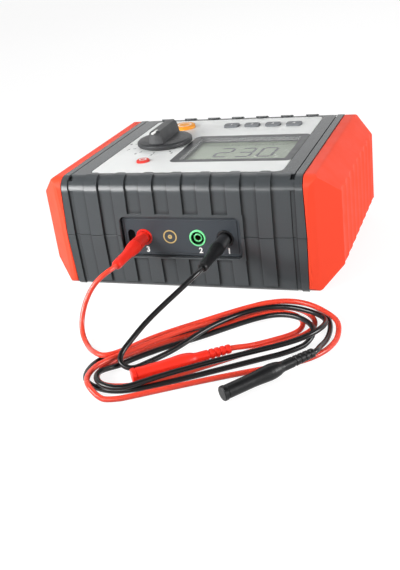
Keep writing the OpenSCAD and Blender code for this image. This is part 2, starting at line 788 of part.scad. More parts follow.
module feet() color("#202122") {
  for (x = [-foot_x, foot_x], y = [-foot_y, foot_y]) translate([x, y, 0])
    rotate_extrude($fn = 48)
    polygon([[0, 0], [5, 0], [6, 1], [6, 2.5], [0, 2.5]]);
}

// Leads

// plug from the socket face outwards, drawn along its axis
module plug_form() {
  s = plug_len / 44.8;
  ring = [for (i = [0:5]) let (z = 3.2 + 2.1 * i, r = 4.2 + 0.07 * i)
    each [[r, z], [r - 0.25, z + 0.3], [r - 0.25, z + 0.6], [r, z + 0.9]]];
  difference() {
    rotate_extrude($fn = 64) polygon(concat([[0, 0], [4.15, 0]], ring, [[4.6, 16.4 * s],
      [4.55, 18.4 * s], [4.3, 21 * s], [3.85, 24 * s], [3.45, 26.6 * s], [3.3, 29 * s],
      [3.2, 33 * s], [3.15, plug_len - 1.6], [2.95, plug_len - 0.6], [2.5, plug_len],
      [0, plug_len]]));
    translate([0, 0, -1]) cylinder(d = 3.8, h = 7, $fn = 48);
  }
  translate([0, 0, -14]) difference() {
    cylinder(d = 8.3, h = 14.5, $fn = 64);
    translate([0, 0, -1]) cylinder(d = 6.3, h = 16, $fn = 64);
  }
}

module at_plug(x) {
  translate([x, -(hd - 2.3), socket_z]) rotate([90, 0, 0]) children();
}

// split spring pin of a plug
module plug_pin() {
  difference() {
    union() {
      cylinder(d = 3.8, h = 6, $fn = 48);
      translate([0, 0, -13]) cylinder(d = contact_d - 0.1, h = 13, $fn = 48);
      translate([0, 0, -14]) cylinder(d1 = 2.4, d2 = contact_d - 0.1, h = 1, $fn = 48);
    }
    translate([0, 0, -9]) cube([0.5, 8, 7], center = true);
  }
}

module red_plug() color("#f23826") at_plug(red_x) plug_form();

module red_plug_pin() color("#c9a24a") at_plug(red_x) plug_pin();

module black_plug() color("#1c1d1f") at_plug(black_x) plug_form();

module black_plug_pin() color("#c9a24a") at_plug(black_x) plug_pin();

// free connector, drawn from the cord end of its sleeve to the flanged tip
module conn_form() {
  m = conn_len;
  ring = [for (i = [0:3]) let (z = 0.6 + 3.2 * i, r = 2.65 + 0.08 * i)
    each [[r, z], [r + 0.05, z + 1.8], [r - 0.4, z + 2.1], [r - 0.4, z + 3]]];
  rotate_extrude($fn = 56) polygon(concat([[0, 0], [2.3, 0]], ring, [[2.95, 13.6],
    [3, 20], [3.2, 21.2], [3.8, 22.9], [4.2, 24.8], [4.45, 27], [4.5, 29], [4.35, 31.6],
    [4.05, 35.6], [3.88, 39.4], [3.85, m - 3.1], [3.6, m - 2.9], [3.6, m - 2.4],
    [4.15, m - 2.2], [4.15, m - 0.4], [3.8, m], [0, m]]));
}

// places a connector with its axis from the cord end to the tip
module between(p, q) {
  d = q - p;
  translate(p) rotate([0, acos(d[2] / norm(d)), atan2(d[1], d[0])]) children();
}

module red_connector() color("#f23826") between(red_end, red_tip) conn_form();

module black_connector() color("#1c1d1f") between(black_end, black_tip) conn_form();

// one tube with eight sides along the points of a lead
module cord_tube(pts, first, last) {
  n = len(pts);
  tan_at = [for (i = [0:n - 1]) i == 0 ? first : i == n - 1 ? last :
    unit(unit(pts[i + 1] - pts[i]) + unit(pts[i] - pts[i - 1]))];
  ring = [for (i = [0:n - 1]) let (t = tan_at[i], s = unit(cross(t, [0, 0, 1])), u = cross(s, t))
    each [for (k = [0:7]) let (a = 45 * k + 22.5)
      pts[i] + cord_r * (cos(a) * s + sin(a) * u)]];
  sides = [for (i = [0:n - 2], k = [0:7])
    [8 * i + k, 8 * i + (k + 1) % 8, 8 * i + 8 + (k + 1) % 8, 8 * i + 8 + k]];
  polyhedron(points = ring, faces = concat([[for (k = [0:7]) 7 - k]], sides,
    [[for (k = [0:7]) 8 * (n - 1) + k]]), convexity = 12);
}

module red_cord() color("#f23826")
  cord_tube(red_path, [0, -1, 0], unit(red_tip - red_end));

module black_cord() color("#1c1d1f")
  cord_tube(black_path, [0, -1, 0], unit(black_tip - black_end));

front_case();
rear_case();
left_cheek();
right_cheek();
cheek_screws();
terminal_panel();
red_socket();
green_socket();
black_socket();
contact_tubes();
port_window();
terminal_board();
display_overlay();
display_window();
lcd_module();
main_board();
board_screws();
switch_body();
knob_shaft();
selector_knob();
knob_pointer();
soft_key_1();
soft_key_2();
soft_key_3();
soft_key_4();
power_key();
start_button();
tact_switches();
relays();
transformer();
capacitors();
buzzer();
fuse_link();
fuse_clips();
battery_cells();
battery_contacts();
battery_cover();
cover_screws();
case_screws();
feet();
red_plug();
red_plug_pin();
red_cord();
red_connector();
black_plug();
black_plug_pin();
black_cord();
black_connector();
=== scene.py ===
"""Installation tester lying on its back, two test leads plugged in and coiled before it."""
import math

import bpy
import numpy as np
from mathutils import Matrix


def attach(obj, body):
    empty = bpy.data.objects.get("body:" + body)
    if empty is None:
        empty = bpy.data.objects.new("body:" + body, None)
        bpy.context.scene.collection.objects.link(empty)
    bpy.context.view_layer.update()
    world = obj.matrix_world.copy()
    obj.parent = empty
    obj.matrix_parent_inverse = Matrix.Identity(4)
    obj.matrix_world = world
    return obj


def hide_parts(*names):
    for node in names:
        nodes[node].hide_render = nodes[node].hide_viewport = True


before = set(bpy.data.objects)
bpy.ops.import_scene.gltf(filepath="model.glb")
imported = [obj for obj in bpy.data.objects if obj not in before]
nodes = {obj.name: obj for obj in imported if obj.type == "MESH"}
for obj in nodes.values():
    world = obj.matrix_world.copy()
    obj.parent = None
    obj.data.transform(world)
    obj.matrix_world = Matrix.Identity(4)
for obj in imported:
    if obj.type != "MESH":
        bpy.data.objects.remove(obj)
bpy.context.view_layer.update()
MM = 0.001
scene = bpy.context.scene
scene.view_settings.view_transform = "Standard"


# ---- Camera and studio ----
# The picture is taken from above the right front corner, with the camera turned a
# little about its own axis. The table and the room are white, and the lamps are soft:
# two in front and one at each side and at the back.
YAW, PITCH, ROLL = (math.radians(a) for a in (22.424, 24.892, -7.543))
back = np.array([math.sin(YAW) * math.cos(PITCH), -math.cos(YAW) * math.cos(PITCH),
                 math.sin(PITCH)])
level = np.cross(-back, [0, 0, 1])
level /= np.linalg.norm(level)
rise = np.cross(level, -back)
across = math.cos(ROLL) * level + math.sin(ROLL) * rise
upward = -math.sin(ROLL) * level + math.cos(ROLL) * rise
eye = bpy.data.cameras.new("eye")
eye.sensor_fit = "VERTICAL"
eye.sensor_height = 36
eye.sensor_width = 36
eye.lens = 51.487
eye.clip_start = 0.01
camera = bpy.data.objects.new("eye", eye)
turn = np.eye(4)
turn[:3, 0], turn[:3, 1], turn[:3, 2] = across, upward, back
turn[:3, 3] = np.array([196.95, -532.4, 232.6]) * MM
camera.matrix_world = Matrix(turn.tolist())
scene.collection.objects.link(camera)
scene.camera = camera


def mesh_from_grid(name, grid, closed_u=False, closed_v=False, caps=False):
    """A mesh from points on a grid (rows u, columns v): each cell is one quad. closed_u and
    closed_v join the last row or column to the first, and caps closes the two end rows."""
    rows, cols = grid.shape[:2]
    u = np.arange(rows if closed_u else rows - 1)[:, None]
    v = np.arange(cols if closed_v else cols - 1)[None, :]
    u1, v1 = (u + 1) % rows, (v + 1) % cols
    quads = np.stack([u * cols + v, u * cols + v1, u1 * cols + v1, u1 * cols + v], -1)
    faces = quads.reshape(-1, 4).tolist()
    if caps:
        faces.append(list(range(cols))[::-1])
        faces.append(list(range((rows - 1) * cols, rows * cols)))
    mesh = bpy.data.meshes.new(name)
    mesh.from_pydata(grid.reshape(-1, 3).tolist(), [], faces)
    mesh.validate()
    return mesh


def link(name, mesh, body, material=None, smooth=True):
    """Puts a mesh into the scene as a piece that rides on a body."""
    piece = bpy.data.objects.new(name, mesh)
    scene.collection.objects.link(piece)
    mesh.polygons.foreach_set("use_smooth", np.full(len(mesh.polygons), smooth))
    if material is not None:
        mesh.materials.clear()
        mesh.materials.append(material)
    if body is not None:
        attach(piece, body)
    return piece


class Finish:
    """A node material under way: its tree, its shader and its Object coordinates."""

    def __init__(self, name):
        self.material = bpy.data.materials.new(name)
        self.material.use_nodes = True
        self.tree = self.material.node_tree
        self.shader = self.tree.nodes["Principled BSDF"]
        self.place = self.tree.nodes.new("ShaderNodeTexCoord").outputs["Object"]

    def add(self, kind, operation=None, **values):
        """A new node, with its inputs set by name, or by number as in_0, in_1."""
        node = self.tree.nodes.new("ShaderNode" + kind)
        if operation:
            node.operation = operation
        for key, value in values.items():
            slot = int(key[3:]) if key.startswith("in_") else key.replace("_", " ")
            if isinstance(value, bpy.types.NodeSocket):
                self.tree.links.new(value, node.inputs[slot])
            else:
                node.inputs[slot].default_value = value
        return node

    def math(self, operation, a, b=0.0, c=0.0):
        """One sum or other operation on up to three numbers."""
        return self.add("Math", operation, in_0=a, in_1=b, in_2=c).outputs[0]

    def noise(self, scale, detail=3, stretch=None, rough=0.55):
        """Noise over the piece, scale in lumps to the metre, stretched along the axes."""
        where = self.place
        if stretch:
            where = self.add("Mapping", Vector=self.place, Scale=stretch).outputs[0]
        return self.add("TexNoise", Vector=where, Scale=scale, Detail=detail,
                        Roughness=rough).outputs["Fac"]

    def span(self, value, low, high, new_low, new_high):
        """Maps low..high to new_low..new_high, held at both ends."""
        return self.add("MapRange", in_0=value, in_1=low, in_2=high, in_3=new_low,
                        in_4=new_high).outputs[0]

    def mix(self, factor, a, b):
        """Colour a where the factor is 0 and b where it is 1."""
        node = self.add("Mix")
        node.data_type = "RGBA"
        for slot, value in ((0, factor), (6, a), (7, b)):
            if isinstance(value, bpy.types.NodeSocket):
                self.tree.links.new(value, node.inputs[slot])
            else:
                node.inputs[slot].default_value = value
        return node.outputs[2]

    def send(self, **sockets):
        """Links sockets to the shader, or sets a plain value on it."""
        for key, value in sockets.items():
            target = self.shader.inputs[key.replace("_", " ")]
            if isinstance(value, bpy.types.NodeSocket):
                self.tree.links.new(value, target)
            else:
                target.default_value = value


def shade(colour, k=1.0):
    """A linear colour made lighter or darker by k, as four numbers."""
    return tuple(min(1.0, c * k) for c in colour[:3]) + (1.0,)


# the table is a sheet of 6 by 6 metres: pale grey to the lamps, so that it throws little
# light back, and lit up to white for the eye and for shine and clear plastic
reach = np.linspace(-3, 3, 9)
floor_grid = np.stack(np.meshgrid(reach, reach, indexing="ij") + [np.zeros((9, 9))], -1)
paper = Finish("table_white")
fibre = paper.noise(900, 4)
paper.send(Base_Color=paper.mix(fibre, (0.2, 0.2, 0.2, 1), (0.24, 0.24, 0.24, 1)),
           Roughness=0.8, Specular_IOR_Level=0.1)
seen = paper.add("LightPath")
direct = paper.math("MAXIMUM", seen.outputs["Is Camera Ray"],
                    paper.math("MAXIMUM", seen.outputs["Is Glossy Ray"],
                               seen.outputs["Is Transmission Ray"]))
glow = paper.add("Emission", Strength=paper.math("MULTIPLY", direct, 0.88))
both = paper.add("AddShader", in_0=paper.shader.outputs[0], in_1=glow.outputs[0])
paper.tree.links.new(both.outputs[0], paper.tree.nodes["Material Output"].inputs[0])
floor = link("table", mesh_from_grid("table", floor_grid), None, paper.material, smooth=False)

# the room is white to the eye, its shine on the piece is white round the horizon and
# dimmer overhead, and all else gets a faint even light from it
ROOM_LIGHT = 0.17
WHITE_UP_TO, DIM_FROM, DIM = 0.45, 0.8, 0.15
world = bpy.data.worlds.new("studio")
scene.world = world
world.use_nodes = True
air = world.node_tree
facing = air.nodes.new("ShaderNodeTexCoord")
height = air.nodes.new("ShaderNodeSeparateXYZ")
air.links.new(facing.outputs["Generated"], height.inputs[0])
ceiling = air.nodes.new("ShaderNodeMapRange")
for slot, value in enumerate((WHITE_UP_TO, DIM_FROM, 1.0, DIM), 1):
    ceiling.inputs[slot].default_value = value
air.links.new(height.outputs["Z"], ceiling.inputs[0])
looked = air.nodes.new("ShaderNodeLightPath").outputs


def larger(a, b):
    """The larger of two values of the room's tree."""
    node = air.nodes.new("ShaderNodeMath")
    node.operation = "MAXIMUM"
    air.links.new(a, node.inputs[0])
    air.links.new(b, node.inputs[1])
    return node.outputs[0]


faint = air.nodes["Background"]
faint.inputs["Color"].default_value = (1, 1, 1, 1)
faint.inputs["Strength"].default_value = ROOM_LIGHT
white = air.nodes.new("ShaderNodeBackground")
white.inputs["Color"].default_value = (1, 1, 1, 1)
air.links.new(larger(ceiling.outputs[0], looked["Is Camera Ray"]), white.inputs["Strength"])
which = air.nodes.new("ShaderNodeMixShader")
shine = larger(looked["Is Glossy Ray"], looked["Is Transmission Ray"])
air.links.new(larger(looked["Is Camera Ray"], shine), which.inputs[0])
air.links.new(faint.outputs[0], which.inputs[1])
air.links.new(white.outputs[0], which.inputs[2])
air.links.new(which.outputs[0], air.nodes["World Output"].inputs[0])


def lamp(name, place, aim, wide, high, watts, spread=180):
    """An oblong soft lamp at a place in metres, turned towards aim. spread is in degrees."""
    data = bpy.data.lights.new(name, "AREA")
    data.shape = "RECTANGLE"
    data.spread = math.radians(spread)
    data.size, data.size_y = wide, high
    data.energy = watts
    obj = bpy.data.objects.new(name, data)
    to = np.array(place, float) - np.array(aim, float)
    to /= np.linalg.norm(to)
    side = np.cross([0, 0, 1], to)
    side /= np.linalg.norm(side)
    m = np.eye(4)
    m[:3, 0], m[:3, 1], m[:3, 2], m[:3, 3] = side, np.cross(to, side), to, place
    obj.matrix_world = Matrix(m.tolist())
    obj.visible_camera = False
    scene.collection.objects.link(obj)


lamp("key_lamp", (-0.34, -0.5, 0.34), (-0.06, -0.08, 0.085), 0.26, 0.26, 0.26, spread=50)
lamp("front_lamp", (-0.3, -1.0, 0.5), (-0.04, -0.1, 0.09), 1.1, 0.1, 2.1, spread=120)
lamp("left_lamp", (-0.5, -0.42, 0.3), (-0.06, -0.08, 0.04), 0.25, 0.25, 3.0)
lamp("side_lamp", (1.0, -0.1, 0.25), (0.08, 0, 0.04), 0.5, 0.4, 8.8)
lamp("rear_lamp", (-0.2, 0.9, 1.1), (0, 0, 0.05), 0.9, 0.9, 3.2)


# ---- Cords of the two test leads ----
# Limp silicone cords, 3.2 mm thick, shown from end to end. Each leaves its plug, drops to
# the table and lies in a long flat loop, crossing over and under the other one. The
# points are the middle of the cord in mm, and TIP is the far end of its connector.
CORD_R = 1.6
TABLE, OVER = 1.6, 5.2
RED_X, BLACK_X, SOCKET_Z, PLUG_END_Y = -27.3, 29.6, 36.8, -120.0
RED_ROUTE = [
    (RED_X, PLUG_END_Y, SOCKET_Z), (-29.5, -127, 36), (-36, -133, 31), (-43, -141.5, 17),
    (-42, -150, 5.5), (-33, -161, 2), (-23, -171.5, 4.8), (-16.5, -174.5, OVER),
    (-10, -171, OVER), (3.5, -153.5, OVER), (28, -128.5, OVER), (60.5, -101, OVER),
    (74.5, -96.5, OVER), (88.5, -100, OVER), (103, -111.5, OVER), (110, -122.5, 5),
    (111, -132, 2), (108, -145, TABLE), (100, -156.5, TABLE), (65, -177.5, TABLE),
    (11, -209.5, TABLE), (1, -212, TABLE), (-7.5, -208.5, 4.8), (-14.5, -199, OVER),
    (-15, -187, OVER), (-6.5, -173, OVER), (29.5, -133, OVER), (41.5, -121, 2.8),
    (54.5, -106.5, TABLE), (72.5, -98.5, TABLE), (86, -103, TABLE), (95, -117, TABLE),
    (91.5, -130.5, TABLE), (70.5, -149.5, TABLE), (24.5, -189.5, TABLE), (6, -198.5, TABLE),
    (-6.5, -198, TABLE), (-13, -190.5, TABLE), (-13, -181.5, TABLE), (9, -152.5, TABLE),
    (49, -119, TABLE), (63, -108, TABLE), (75, -105.5, TABLE), (86, -113, TABLE),
    (87.5, -126, TABLE), (76.5, -138.5, 1.8), (62.2, -151.8, 3.8), (55.3, -156.9, 4.85)]
BLACK_ROUTE = [
    (BLACK_X, PLUG_END_Y, SOCKET_Z), (28, -127, 36), (22, -136, 31.5), (5, -155.5, 18),
    (-1.8, -168, 10.8), (-4, -174.5, 7.6), (-2.5, -180, 4.6), (2.8, -181, 2.3),
    (9, -175, TABLE), (21.5, -157.5, 2.4), (32.5, -141, OVER), (44, -122.5, OVER),
    (57, -110, OVER), (72, -104.5, OVER), (90, -108.5, OVER), (101, -117.5, 5.6),
    (102, -132, 7.5), (94, -143.5, 7), (73, -156.5, OVER), (21.5, -195, OVER),
    (7, -205.5, OVER), (-5, -203, 5.6), (-10.5, -193, OVER), (-5, -178, TABLE),
    (8.5, -161.5, TABLE), (31.5, -140.5, TABLE), (65.5, -114, 3.4), (80, -115, OVER),
    (92, -122, OVER), (97.5, -133, 4.4), (94, -143, TABLE), (82, -155, TABLE),
    (45, -181, TABLE), (21.5, -196.5, TABLE), (4, -203.5, TABLE), (-9, -201.5, TABLE),
    (-18.5, -194, TABLE), (-20.5, -178, TABLE), (-12.5, -165.5, TABLE), (27.5, -128.5, TABLE),
    (45.5, -106.5, TABLE), (58, -94, TABLE), (83.5, -92, TABLE), (97.5, -103, TABLE),
    (104.5, -119, TABLE), (105.5, -138.5, 2.6), (104.6, -150, OVER), (103.1, -158.2, 6.7)]
RED_TIP, BLACK_TIP = (9.1, -191.9, 4.25), (64.5, -201.4, 4.25)


def smooth_route(points, first, last, each=14):
    """Cubic spline through the points: its second derivatives solve one tridiagonal system,
    with the directions at both ends given. The parameter grows as chord to the power 0.75."""
    p = np.array(points, float)
    h = np.linalg.norm(np.diff(p, axis=0), axis=1) ** 0.75
    n = len(p)
    a, b = np.zeros((n, n)), np.zeros((n, 3))
    slope = np.diff(p, axis=0) / h[:, None]
    i = np.arange(1, n - 1)
    a[i, i - 1], a[i, i], a[i, i + 1] = h[:-1], 2 * (h[:-1] + h[1:]), h[1:]
    b[1:-1] = 6 * np.diff(slope, axis=0)
    chord = np.linalg.norm(np.diff(p, axis=0), axis=1)
    start = np.array(first) * chord[0] / h[0]
    stop = np.array(last) * chord[-1] / h[-1]
    a[0, :2], b[0] = (2 * h[0], h[0]), 6 * (slope[0] - start)
    a[-1, -2:], b[-1] = (h[-1], 2 * h[-1]), 6 * (stop - slope[-1])
    m = np.linalg.solve(a, b)
    s = np.linspace(0, 1, each, endpoint=False)[None, :, None]
    h_, m0, m1 = h[:, None, None], m[:-1, None], m[1:, None]
    c = p[:-1, None] * (1 - s) + p[1:, None] * s
    c = c + h_ ** 2 / 6 * (((1 - s) ** 3 - (1 - s)) * m0 + (s ** 3 - s) * m1)
    out = np.vstack([c.reshape(-1, 3), p[-1:]])
    out[:, 2] = np.maximum(out[:, 2], CORD_R)
    return out


def tube(path, radius, sides=20):
    """Rings of one radius round a path: each ring stands square to the path there, and its
    first axis is the level direction across the path."""
    along = np.gradient(path, axis=0)
    along /= np.linalg.norm(along, axis=1)[:, None]
    side = np.cross(along, [0, 0, 1])
    side /= np.linalg.norm(side, axis=1)[:, None]
    up = np.cross(side, along)
    a = np.linspace(0, 2 * np.pi, sides, endpoint=False)[None, :, None]
    return path[:, None] + radius * (np.cos(a) * side[:, None] + np.sin(a) * up[:, None])


def rubbery(name, colour, gloss, specular, grain=1500):
    """Smooth sheath or soft moulding: tone drifts a little, fine dust dulls the shine in
    places, and the skin is faintly uneven."""
    skin = Finish(name)
    drift, dust, pits = skin.noise(40, 3), skin.noise(310, 5), skin.noise(grain, 3)
    tone = skin.mix(skin.span(drift, 0.3, 0.7, 0, 1), shade(colour, 0.93), shade(colour, 1.05))
    tone = skin.mix(skin.span(dust, 0.6, 0.85, 0, 0.015), tone, (0.5, 0.5, 0.5, 1))
    bump = skin.add("Bump", Strength=0.15, Distance=0.00008, Height=pits)
    skin.send(Base_Color=tone, Roughness=skin.span(dust, 0.3, 0.75, *gloss),
              Normal=bump.outputs[0], Specular_IOR_Level=specular)
    return skin.material


RED_COLOUR, BLACK_COLOUR = (0.86, 0.06, 0.03), (0.006, 0.006, 0.0065)
red_sheath = rubbery("red_silicone", RED_COLOUR, (0.2, 0.3), 0.45)
black_sheath = rubbery("black_silicone", BLACK_COLOUR, (0.18, 0.26), 0.42)


def unit(v):
    """The vector drawn out or in to length 1."""
    v = np.array(v, float)
    return v / np.linalg.norm(v)


for name, route, tip, sheath in (("red", RED_ROUTE, RED_TIP, red_sheath),
                                 ("black", BLACK_ROUTE, BLACK_TIP, black_sheath)):
    path = smooth_route(route, (0, -1, 0), unit(np.subtract(tip, route[-1])))
    piece = link(name + "_cord_sheath",
                 mesh_from_grid(name + "_cord_sheath", tube(path, CORD_R) * MM,
                                closed_v=True, caps=True), "instrument", sheath)
    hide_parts(name + "_cord")


# ---- Casing halves ----
# Two shells of dark grey ABS moulded with a fine spark-eroded grain, screwed together from
# below. A shadow line runs round the joint. Long use has rubbed the edges a little paler.
CROWN_HEIGHTS = (0.0664, 0.0704, 0.0784)
CROWN_LEAN, CROWN_EASE = 0.354, 0.129


def moulded(name, colour, gloss, grain, bump, edge=None, worn=0.0, specular=0.5, drift=0.05,
            crown=None, corner_shade_painted=0.0):
    """Moulded plastic: the tone drifts over a few centimetres, a fine grain breaks the
    surface, and handling leaves the gloss uneven. Edges catch light over a width, edge, and
    are worn paler there where their normal turns away from the face's own. crown gives
    three heights: where the walls begin to lean inwards, where they meet the rounded top
    edge, and the top. The normal is tipped up more and more to the second and less again
    to the third, so the edge shades as a larger round. The last argument paints shade into
    corners: the colour is darkened where ambient occlusion finds a hollow, except on faces
    turned up."""
    skin = Finish(name)
    broad, smudge = skin.noise(16, 3), skin.noise(85, 6, rough=0.62)
    fine = skin.noise(grain, 3)
    tone = skin.mix(skin.span(broad, 0.3, 0.7, 0, 1), shade(colour, 1 - drift),
                    shade(colour, 1 + drift))
    tone = skin.mix(skin.span(fine, 0.35, 0.75, 0, 0.12), tone, shade(colour, 1.6))
    relief = skin.add("Bump", Strength=bump, Distance=0.00004, Height=fine)
    if edge:
        round_edge = skin.add("Bevel", Radius=edge)
        round_edge.samples = 4
        face = skin.add("NewGeometry").outputs["Normal"]
        turned = skin.add("VectorMath", "DOT_PRODUCT", in_0=round_edge.outputs[0], in_1=face)
        rub = skin.math("MULTIPLY", skin.span(turned.outputs["Value"], 0.72, 0.97, worn, 0),
                        skin.span(smudge, 0.35, 0.6, 0.3, 1))
        tone = skin.mix(rub, tone, shade(colour, 2.2))
        normal = round_edge.outputs[0]
        if crown:
            z = skin.add("SeparateXYZ", in_0=skin.place).outputs["Z"]
            begin, meet, top = crown
            lean = skin.math("SUBTRACT", skin.span(z, begin, meet, 0, CROWN_LEAN),
                             skin.span(z, meet, top, 0, CROWN_EASE))
            tip = skin.add("CombineXYZ", Z=lean).outputs[0]
            added = skin.add("VectorMath", "ADD", in_0=normal, in_1=tip).outputs[0]
            normal = skin.add("VectorMath", "NORMALIZE", in_0=added).outputs[0]
        skin.tree.links.new(normal, relief.inputs["Normal"])
    # painted shade: the colour is darkened towards 0.3 of itself where ambient occlusion finds
    # a hollow, except on faces turned up
    if corner_shade_painted:
        hollow = skin.add("AmbientOcclusion", Distance=0.003)
        hollow.samples = 6
        faces = skin.add("SeparateXYZ", in_0=skin.add("NewGeometry").outputs["Normal"])
        low = skin.math("MULTIPLY", skin.span(faces.outputs["Z"], 0.3, 0.6, 1, 0),
                        skin.span(hollow.outputs["AO"], 0.65, 0.96, corner_shade_painted, 0))
        tone = skin.mix(low, tone, shade(colour, 0.3))
    skin.send(Base_Color=tone, Roughness=skin.span(smudge, 0.3, 0.7, *gloss),
              Normal=relief.outputs[0], Specular_IOR_Level=specular)
    return skin.material


def finish(material, *names):
    """Gives a material to CAD nodes through their own slots."""
    for name in names:
        for slot in nodes[name].material_slots:
            slot.material = material


CASE_GREY = (0.058, 0.064, 0.068)
# the casing gets painted shade in its corners, along the rib edges and round the recesses
case_skin = moulded("case_abs", CASE_GREY, (0.2, 0.24), 2300, 0.4, 0.0006, 0.07, 0.3,
                    crown=CROWN_HEIGHTS, corner_shade_painted=0.8)
finish(case_skin, "front_case", "rear_case", "battery_cover")


# ---- End cheeks ----
# One bright red cap at each end of the casing, injection moulded and satin smooth, held by
# screws from inside. Finger grooves run down the outer face.
CHEEK_RED = (0.93, 0.072, 0.032)
cheek_skin = moulded("cheek_red_abs", CHEEK_RED, (0.42, 0.54), 3200, 0.15, 0.0007, 0.0, 0.14,
                     0.03)
finish(cheek_skin, "left_cheek", "right_cheek")


# ---- Terminal panel ----
# A smooth blue-grey insert snapped into the recess of the casing. Plain numbers and a thin
# ring are printed on it, and a dark infrared window closes the slot at its left end.
PANEL_GREY = (0.033, 0.04, 0.048)
panel_skin = moulded("panel_abs", PANEL_GREY, (0.36, 0.46), 3000, 0.12, 0.0004, 0.3, 0.4)
finish(panel_skin, "terminal_panel")


def printed(name, colour):
    """Screen-printed ink: a thin even coat with pinholes and a slightly rough edge tone."""
    ink = Finish(name)
    cover = ink.noise(1400, 4)
    ink.send(Base_Color=ink.mix(ink.span(cover, 0.62, 0.8, 0, 0.35), shade(colour),
                                shade(colour, 0.6)),
             Roughness=ink.span(ink.noise(240, 4), 0.3, 0.7, 0.44, 0.58))
    relief = ink.add("Bump", Strength=0.1, Distance=0.00003, Height=cover)
    ink.send(Normal=relief.outputs[0])
    return ink.material


white_ink = printed("white_ink", (0.86, 0.86, 0.84))
ochre_ink = printed("ochre_ink", (0.5, 0.36, 0.13))
dark_ink = printed("dark_ink", (0.03, 0.032, 0.036))


INK_DEPTH = 0.06


def figure(name, text, size, place, material, body, weight=0.0):
    """A printed number: a text outline turned into a mesh, centred on its own box, then put
    in place by a 4 by 4 matrix (mm)."""
    curve = bpy.data.curves.new(name + "_outline", "FONT")
    curve.body = text
    curve.size = size
    curve.extrude = INK_DEPTH / 2
    curve.offset = weight
    shown = bpy.data.objects.new(name + "_outline", curve)
    scene.collection.objects.link(shown)
    bpy.context.view_layer.update()
    mesh = bpy.data.meshes.new_from_object(shown.evaluated_get(
        bpy.context.evaluated_depsgraph_get()))
    bpy.data.objects.remove(shown)
    mesh.name = name
    p = np.empty(len(mesh.vertices) * 3)
    mesh.vertices.foreach_get("co", p)
    p = p.reshape(-1, 3)
    p[:, :2] -= (p[:, :2].max(0) + p[:, :2].min(0)) / 2
    p = (p @ np.array(place)[:3, :3].T + np.array(place)[:3, 3]) * MM
    mesh.vertices.foreach_set("co", p.ravel())
    mesh.update()
    piece = link(name, mesh, body, material, smooth=False)
    return piece


def upright(x, y, z):
    """Writing that stands in the X-Z plane and faces -Y."""
    return [[1, 0, 0, x], [0, 0, -1, y], [0, 1, 0, z], [0, 0, 0, 1]]


def lying(x, y, z):
    """Writing that lies face up."""
    return [[1, 0, 0, x], [0, 1, 0, y], [0, 0, 1, z], [0, 0, 0, 1]]


def washer(name, place, r_in, r_out, material, body):
    """A flat printed ring: a rectangle r_in..r_out by the ink's depth, carried round a
    circle."""
    a = np.linspace(0, 2 * np.pi, 96, endpoint=False)[:, None]
    r = np.array([r_in, r_out, r_out, r_in])
    z = np.array([-1, -1, 1, 1]) * INK_DEPTH / 2
    ring = np.stack([np.cos(a) * r, np.sin(a) * r, np.broadcast_to(z, (96, 4))], -1)
    m = np.array(place)
    ring = (ring @ m[:3, :3].T + m[:3, 3]) * MM
    piece = link(name, mesh_from_grid(name, ring, closed_u=True, closed_v=True), body,
                 material, smooth=False)
    return piece


PRINT_Y, NUMBER_Z, NUMBER_SIZE = -74.52, 28.2, 5.3
RING_X, RING_Z = -8.7, 37.4
for text, x in (("3", -25.7), ("2", 12.0), ("1", 31.5)):
    figure("terminal_number_" + text, text, NUMBER_SIZE, upright(x, PRINT_Y, NUMBER_Z),
           white_ink, "instrument", weight=0.17)
for name, r_in, r_out in (("panel_ring", 3.9, 4.75), ("panel_ring_dot", 0.4, 1.5)):
    washer(name, upright(RING_X, PRINT_Y, RING_Z), r_in, r_out, ochre_ink, "instrument")

# infrared window: near-black acrylic, polished in front
acrylic = Finish("infrared_acrylic")
acrylic.send(Base_Color=acrylic.mix(acrylic.noise(200, 3), (0.0006, 0.0006, 0.0008, 1),
                                    (0.0014, 0.0013, 0.0016, 1)),
             Roughness=acrylic.span(acrylic.noise(400, 4), 0.3, 0.7, 0.2, 0.32),
             Specular_IOR_Level=0.04,
             Normal=acrylic.add("Bump", Strength=0.05, Distance=0.00003,
                                Height=acrylic.noise(300, 2)).outputs[0])
finish(acrylic.material, "port_window")


# ---- Sockets ----
# Three safety sockets moulded in glossy nylon, each with a collar round an insulated post.
# A turned brass tube inside takes the pin.
GREEN_X, GREEN_POST, COLLAR_EDGE = 10.7, 2.9, 4.6


def collar(name, colour, x, post=0.0):
    """Glossy nylon with painted shade in the gap inside the collar: the tone falls where the
    distance from the socket's axis is between the post and the collar's inner edge."""
    skin = Finish(name)
    xyz = skin.add("SeparateXYZ", in_0=skin.place)
    away = [skin.math("POWER", skin.math("SUBTRACT", xyz.outputs[axis], at * MM), 2.0)
            for axis, at in (("X", x), ("Z", SOCKET_Z))]
    reach = skin.math("SQRT", skin.math("ADD", *away))
    tone = skin.mix(skin.noise(300, 3), shade(colour, 0.92), shade(colour, 1.05))
    # painted shade: inside the collar, out to its inner edge and down to the post, the colour
    # is made nearly black
    gap = skin.math("MULTIPLY",
                    skin.span(reach, (COLLAR_EDGE - 0.15) * MM, COLLAR_EDGE * MM, 1, 0),
                    skin.span(reach, post * MM, (post + 0.1) * MM, 0, 1))
    skin.send(Base_Color=skin.mix(gap, tone, shade(colour, 0.05)),
              Roughness=skin.span(skin.noise(420, 4), 0.3, 0.7, 0.22, 0.34),
              Normal=skin.add("Bump", Strength=0.1, Distance=0.00004,
                              Height=skin.noise(1500, 2)).outputs[0],
              Specular_IOR_Level=0.45)
    return skin.material


finish(collar("red_nylon", (0.75, 0.02, 0.012), RED_X), "red_socket")
finish(collar("black_nylon", (0.007, 0.007, 0.008), BLACK_X), "black_socket")
green_nylon = collar("green_nylon", (0.2, 0.82, 0.34), GREEN_X, GREEN_POST)
finish(green_nylon, "green_socket")

